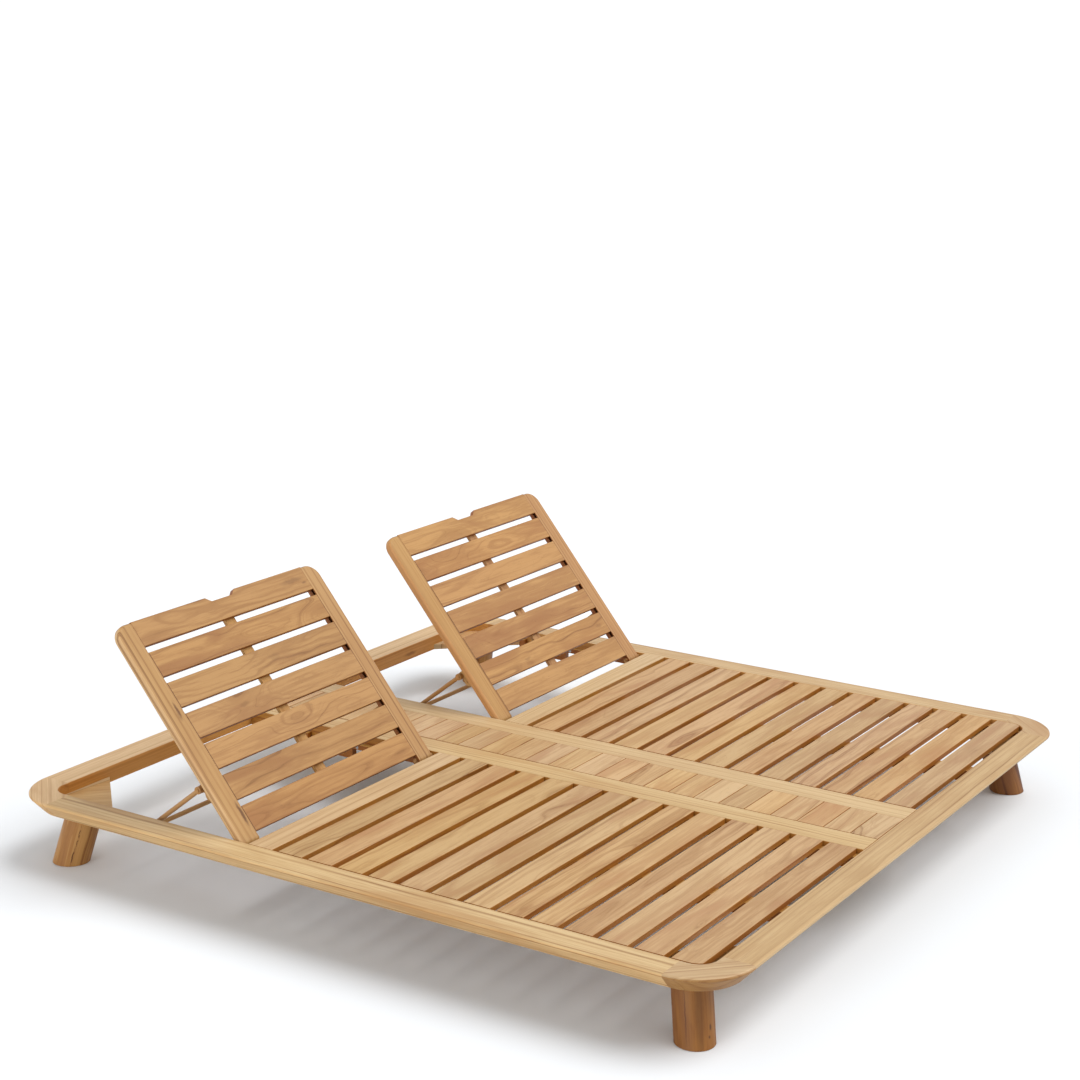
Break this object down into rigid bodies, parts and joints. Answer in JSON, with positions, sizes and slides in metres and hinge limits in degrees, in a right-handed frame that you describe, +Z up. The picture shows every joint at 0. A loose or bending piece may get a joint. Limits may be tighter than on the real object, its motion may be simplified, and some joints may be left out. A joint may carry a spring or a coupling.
{
  "type": "outdoor daybed",
  "caption": "Low slatted wooden double daybed with rounded frame rails, splayed round legs, a planked middle strip and two folding backrests on prop bars.",
  "frame": {"origin": "on the floor under the middle of the bed", "axes": "+X across the bed to the right as seen from the foot end, +Y to the head end, +Z up"},
  "size_m": [2.0628, 2.0378, 0.6531],
  "materials": {
    "frame_wood": "oiled, soft sheen",
    "slat_wood": "oiled, soft sheen",
    "under_wood": "sanded",
    "back_wood": "oiled, soft sheen",
    "leg_wood": "oiled, soft sheen",
    "bar_wood": "oiled, soft sheen",
    "steel": "brushed",
    "dark_steel": "matt",
    "glide_plastic": "matt"
  },
  "bodies": {
    "frame": {"side_rail_left": "frame_wood", "side_rail_right": "frame_wood", "head_rail": "frame_wood", "foot_rail": "frame_wood", "corner_head_left": "frame_wood", "corner_head_right": "frame_wood", "corner_foot_left": "frame_wood", "corner_foot_right": "frame_wood", "centre_rail_left": "frame_wood", "centre_rail_right": "frame_wood", "hinge_rail_left": "frame_wood", "hinge_rail_right": "frame_wood", "seat_slats_left": "slat_wood", "seat_slats_right": "slat_wood", "centre_planks": "slat_wood", "seat_cleats_left": "under_wood", "seat_cleats_right": "under_wood", "centre_cleats": "under_wood", "seat_batten_left": "under_wood", "seat_batten_right": "under_wood", "leg_head_left": "leg_wood", "leg_head_right": "leg_wood", "leg_foot_left": "leg_wood", "leg_foot_right": "leg_wood", "gusset_head_left": "under_wood", "gusset_head_right": "under_wood", "gusset_foot_left": "under_wood", "gusset_foot_right": "under_wood", "rack_left": "under_wood", "rack_right": "under_wood", "leg_bolts": "steel", "gusset_dowels": "under_wood", "wood_screws": "steel", "hinge_bolts": "steel", "foot_glides": "glide_plastic"},
    "backrest_left": {"stile_outer_left": "frame_wood", "stile_inner_left": "frame_wood", "back_top_rail_left": "back_wood", "back_slats_left": "back_wood", "back_bottom_rail_left": "back_wood", "back_batten_left": "under_wood", "prop_brackets_left": "bar_wood", "bracket_bolts_left": "dark_steel", "prop_pins_left": "steel", "batten_screws_left": "steel"},
    "backrest_right": {"stile_outer_right": "frame_wood", "stile_inner_right": "frame_wood", "back_top_rail_right": "back_wood", "back_slats_right": "back_wood", "back_bottom_rail_right": "back_wood", "back_batten_right": "under_wood", "prop_brackets_right": "bar_wood", "bracket_bolts_right": "dark_steel", "prop_pins_right": "steel", "batten_screws_right": "steel"},
    "prop_left": {"prop_arms_left": "bar_wood", "prop_bar_left": "bar_wood"},
    "prop_right": {"prop_arms_right": "bar_wood", "prop_bar_right": "bar_wood"}
  },
  "joints": [
    {"name": "backrest_left_tilt", "type": "hinge", "parent": "frame", "child": "backrest_left", "pos_m": [-0.5565, 0.323, 0.178], "axis": [1, 0, 0], "range_deg": [-50, 10]},
    {"name": "prop_left_fold", "type": "hinge", "parent": "backrest_left", "child": "prop_left", "pos_m": [-0.5565, 0.46815, 0.27942], "axis": [1, 0, 0], "range_deg": [-18.6, 92.6]},
    {"name": "backrest_right_tilt", "type": "hinge", "parent": "frame", "child": "backrest_right", "pos_m": [0.5565, 0.323, 0.178], "axis": [1, 0, 0], "range_deg": [-50, 10]},
    {"name": "prop_right_fold", "type": "hinge", "parent": "backrest_right", "child": "prop_right", "pos_m": [0.5565, 0.46815, 0.27942], "axis": [1, 0, 0], "range_deg": [-18.6, 92.6]}
  ],
  "couplings": [
    {"joint": "prop_left_fold", "follows": "backrest_left_tilt", "ratio": -1.85},
    {"joint": "prop_right_fold", "follows": "backrest_right_tilt", "ratio": -1.85}
  ]
}
